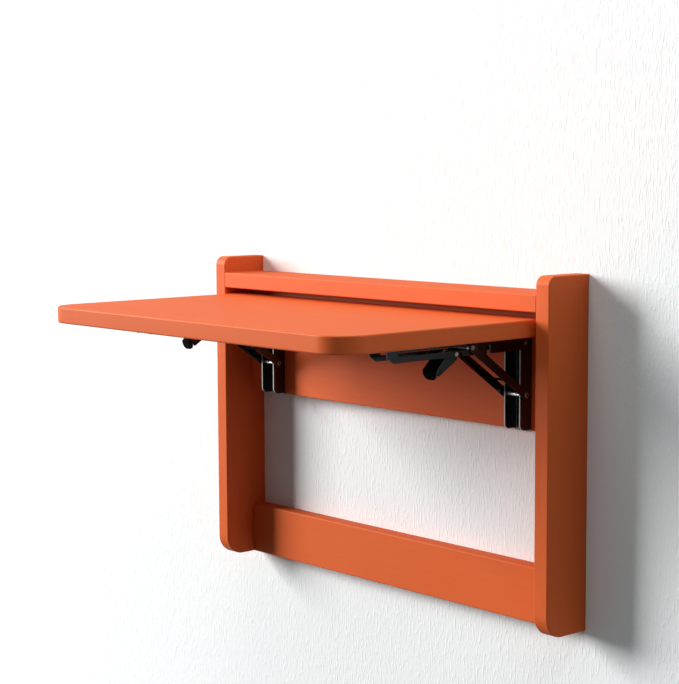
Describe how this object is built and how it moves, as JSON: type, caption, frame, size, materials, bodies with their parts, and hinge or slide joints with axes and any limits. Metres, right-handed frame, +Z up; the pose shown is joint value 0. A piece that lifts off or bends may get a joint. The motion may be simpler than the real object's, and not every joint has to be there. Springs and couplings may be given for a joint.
{
  "type": "wall mounted drop leaf table",
  "caption": "Wall-hung wooden table whose leaf folds down on steel brackets with diagonal struts that slide and lock.",
  "frame": {"origin": "centre of the back panel's wall face", "axes": "+X along the wall to the viewer's right, +Y into the wall, +Z up"},
  "size_m": [0.6, 0.349, 0.408],
  "materials": {
    "lacquered_wood": "satin orange lacquer",
    "plain_wood": "bare",
    "black_steel": "semi-gloss black",
    "screw_steel": "black",
    "bright_steel": "bright zinc",
    "spring_steel": "plain"
  },
  "bodies": {
    "frame": {"left_post": "lacquered_wood", "right_post": "lacquered_wood", "top_rail": "lacquered_wood", "back_panel": "lacquered_wood", "lower_rail": "lacquered_wood", "left_dowels": "plain_wood", "right_dowels": "plain_wood", "left_wall_channel": "black_steel", "left_wall_channel_screws": "screw_steel", "left_corner_pin": "bright_steel", "left_strut_pin": "bright_steel", "right_wall_channel": "black_steel", "right_wall_channel_screws": "screw_steel", "right_corner_pin": "bright_steel", "right_strut_pin": "bright_steel"},
    "leaf": {"table_leaf": "lacquered_wood", "left_arm_channel": "black_steel", "left_arm_screws": "screw_steel", "left_lever_pin": "bright_steel", "left_lever_spring": "spring_steel", "right_arm_channel": "black_steel", "right_arm_screws": "screw_steel", "right_lever_pin": "bright_steel", "right_lever_spring": "spring_steel"},
    "left_strut_link": {"left_strut": "black_steel", "left_strut_rivets": "bright_steel"},
    "left_slider": {"left_slide_pin": "bright_steel"},
    "left_lever": {"left_release_lever": "black_steel"},
    "right_strut_link": {"right_strut": "black_steel", "right_strut_rivets": "bright_steel"},
    "right_slider": {"right_slide_pin": "bright_steel"},
    "right_lever": {"right_release_lever": "black_steel"}
  },
  "joints": [
    {"name": "leaf_fold", "type": "hinge", "parent": "frame", "child": "leaf", "pos_m": [0, -0.0345, 0.032], "axis": [1, 0, 0], "range_deg": [0, 90]},
    {"name": "left_strut_swing", "type": "hinge", "parent": "frame", "child": "left_strut_link", "pos_m": [-0.222, -0.0345, -0.028], "axis": [1, 0, 0], "range_deg": [0, 124.3]},
    {"name": "left_slide", "type": "slide", "parent": "leaf", "child": "left_slider", "axis": [0, -1, 0], "range_m": [0, 0.0792]},
    {"name": "left_lever_press", "type": "hinge", "parent": "leaf", "child": "left_lever", "pos_m": [-0.222, -0.145, 0.0276], "axis": [-1, 0, 0], "range_deg": [0, 18], "stiffness_Nm_per_rad": 0.25, "springref_deg": -11.46},
    {"name": "right_strut_swing", "type": "hinge", "parent": "frame", "child": "right_strut_link", "pos_m": [0.222, -0.0345, -0.028], "axis": [1, 0, 0], "range_deg": [0, 124.3]},
    {"name": "right_slide", "type": "slide", "parent": "leaf", "child": "right_slider", "axis": [0, -1, 0], "range_m": [0, 0.0792]},
    {"name": "right_lever_press", "type": "hinge", "parent": "leaf", "child": "right_lever", "pos_m": [0.222, -0.145, 0.0276], "axis": [-1, 0, 0], "range_deg": [0, 18], "stiffness_Nm_per_rad": 0.25, "springref_deg": -11.46}
  ],
  "couplings": [
    {"joint": "left_strut_swing", "follows": "leaf_fold", "ratio": 1.3798},
    {"joint": "left_slide", "follows": "leaf_fold", "m_per_rad": 0.050414},
    {"joint": "right_strut_swing", "follows": "leaf_fold", "ratio": 1.3798},
    {"joint": "right_slide", "follows": "leaf_fold", "m_per_rad": 0.050414}
  ]
}
